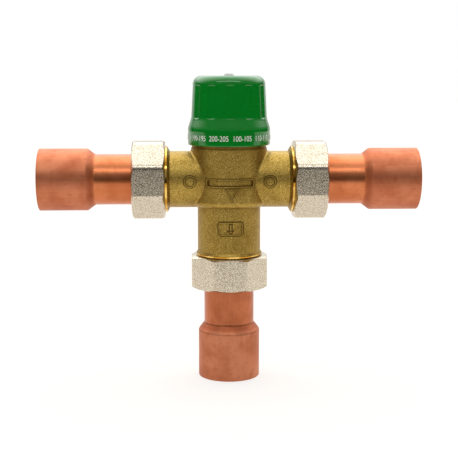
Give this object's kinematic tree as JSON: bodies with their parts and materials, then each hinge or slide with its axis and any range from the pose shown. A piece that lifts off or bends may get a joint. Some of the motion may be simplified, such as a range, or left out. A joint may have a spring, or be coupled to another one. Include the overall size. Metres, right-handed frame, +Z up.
{
  "type": "thermostatic mixing valve",
  "caption": "Three-way mixing valve with forged body, green setting cap and union ends with copper solder tails; inlets left and right, outlet down.",
  "frame": {"origin": "centre of the outlet tail's rim, on which the valve stands", "axes": "+Z up along the barrel and outlet, +X towards the cold inlet, -Y towards the forged marks"},
  "size_m": [0.1504, 0.0328, 0.122],
  "materials": {
    "forged_brass": "shot-blasted forged brass, fine matt grain",
    "turned_brass": "turned, bright",
    "nickel_plate": "nickel plate over a blasted surface",
    "copper": "satin copper",
    "green_plastic": "glossy moulded plastic",
    "grey_screw": "light grey plated",
    "black_rubber": "smooth rubber",
    "washer_rubber": "flat sealing washer",
    "spring_steel": "drawn stainless wire",
    "stainless": "plain stainless",
    "element_copper": "drawn copper capsule",
    "spool_plastic": "filled engineering plastic",
    "white_plastic": "acetal"
  },
  "bodies": {
    "valve": {"valve_body": "forged_brass", "bonnet": "turned_brass", "bonnet_o_ring": "black_rubber", "return_spring": "spring_steel", "hot_check_cage": "white_plastic", "hot_check_o_ring": "black_rubber", "hot_strainer": "stainless", "hot_check_spring": "spring_steel", "cold_check_cage": "white_plastic", "cold_check_o_ring": "black_rubber", "cold_strainer": "stainless", "cold_check_spring": "spring_steel"},
    "thrust": {"overload_plunger": "turned_brass", "overload_spring": "spring_steel", "element_piston": "stainless"},
    "spindle": {"spindle": "turned_brass", "spindle_o_ring_lower": "black_rubber", "spindle_o_ring_upper": "black_rubber", "spindle_circlip": "spring_steel", "plunger_circlip": "spring_steel", "setting_cap": "green_plastic", "cap_screw": "grey_screw"},
    "shuttle": {"wax_element": "element_copper", "spool": "spool_plastic", "spool_o_ring": "black_rubber"},
    "hot_tail": {"hot_tailpiece": "copper", "hot_union_washer": "washer_rubber"},
    "hot_nut": {"hot_union_nut": "nickel_plate"},
    "cold_tail": {"cold_tailpiece": "copper", "cold_union_washer": "washer_rubber"},
    "cold_nut": {"cold_union_nut": "nickel_plate"},
    "outlet_tail": {"outlet_tailpiece": "copper", "outlet_union_washer": "washer_rubber"},
    "outlet_nut": {"outlet_union_nut": "nickel_plate"},
    "hot_poppet": {"hot_check_poppet": "white_plastic", "hot_check_seal": "black_rubber"},
    "cold_poppet": {"cold_check_poppet": "white_plastic", "cold_check_seal": "black_rubber"}
  },
  "joints": [
    {"name": "spindle_advance", "type": "slide", "parent": "valve", "child": "thrust", "axis": [0, 0, 1], "range_m": [-0.00063, 0.00063], "deforming": ["return_spring"]},
    {"name": "spindle_turn", "type": "hinge", "parent": "thrust", "child": "spindle", "pos_m": [0, 0, 0.0802], "axis": [0, 0, 1], "range_deg": [-150, 150]},
    {"name": "element_stroke", "type": "slide", "parent": "thrust", "child": "shuttle", "axis": [0, 0, -1], "range_m": [0, 0.0014], "stiffness_N_per_m": 2000, "springref_m": -0.00025, "deforming": ["return_spring"]},
    {"name": "hot_union_draw", "type": "slide", "parent": "valve", "child": "hot_tail", "axis": [-1, 0, 0], "range_m": [0, 0.00726]},
    {"name": "hot_nut_turn", "type": "hinge", "parent": "hot_tail", "child": "hot_nut", "pos_m": [-0.0316, 0, 0.0802], "axis": [-1, 0, 0], "range_deg": [0, 1440]},
    {"name": "cold_union_draw", "type": "slide", "parent": "valve", "child": "cold_tail", "axis": [1, 0, 0], "range_m": [0, 0.00726]},
    {"name": "cold_nut_turn", "type": "hinge", "parent": "cold_tail", "child": "cold_nut", "pos_m": [0.0316, 0, 0.0802], "axis": [1, 0, 0], "range_deg": [0, 1440]},
    {"name": "outlet_union_draw", "type": "slide", "parent": "valve", "child": "outlet_tail", "axis": [0, 0, -1], "range_m": [0, 0.00726]},
    {"name": "outlet_nut_turn", "type": "hinge", "parent": "outlet_tail", "child": "outlet_nut", "pos_m": [0, 0, 0.0436], "axis": [0, 0, -1], "range_deg": [0, 1440]},
    {"name": "hot_check_opening", "type": "slide", "parent": "valve", "child": "hot_poppet", "axis": [1, 0, 0], "range_m": [0, 0.0025], "stiffness_N_per_m": 100, "deforming": ["hot_check_spring"]},
    {"name": "cold_check_opening", "type": "slide", "parent": "valve", "child": "cold_poppet", "axis": [-1, 0, 0], "range_m": [0, 0.0025], "stiffness_N_per_m": 100, "deforming": ["cold_check_spring"]}
  ],
  "couplings": [
    {"joint": "spindle_turn", "follows": "spindle_advance", "rad_per_m": 4188.8},
    {"joint": "hot_nut_turn", "follows": "hot_union_draw", "rad_per_m": 3463.7},
    {"joint": "cold_nut_turn", "follows": "cold_union_draw", "rad_per_m": 3463.7},
    {"joint": "outlet_nut_turn", "follows": "outlet_union_draw", "rad_per_m": 3463.7}
  ]
}
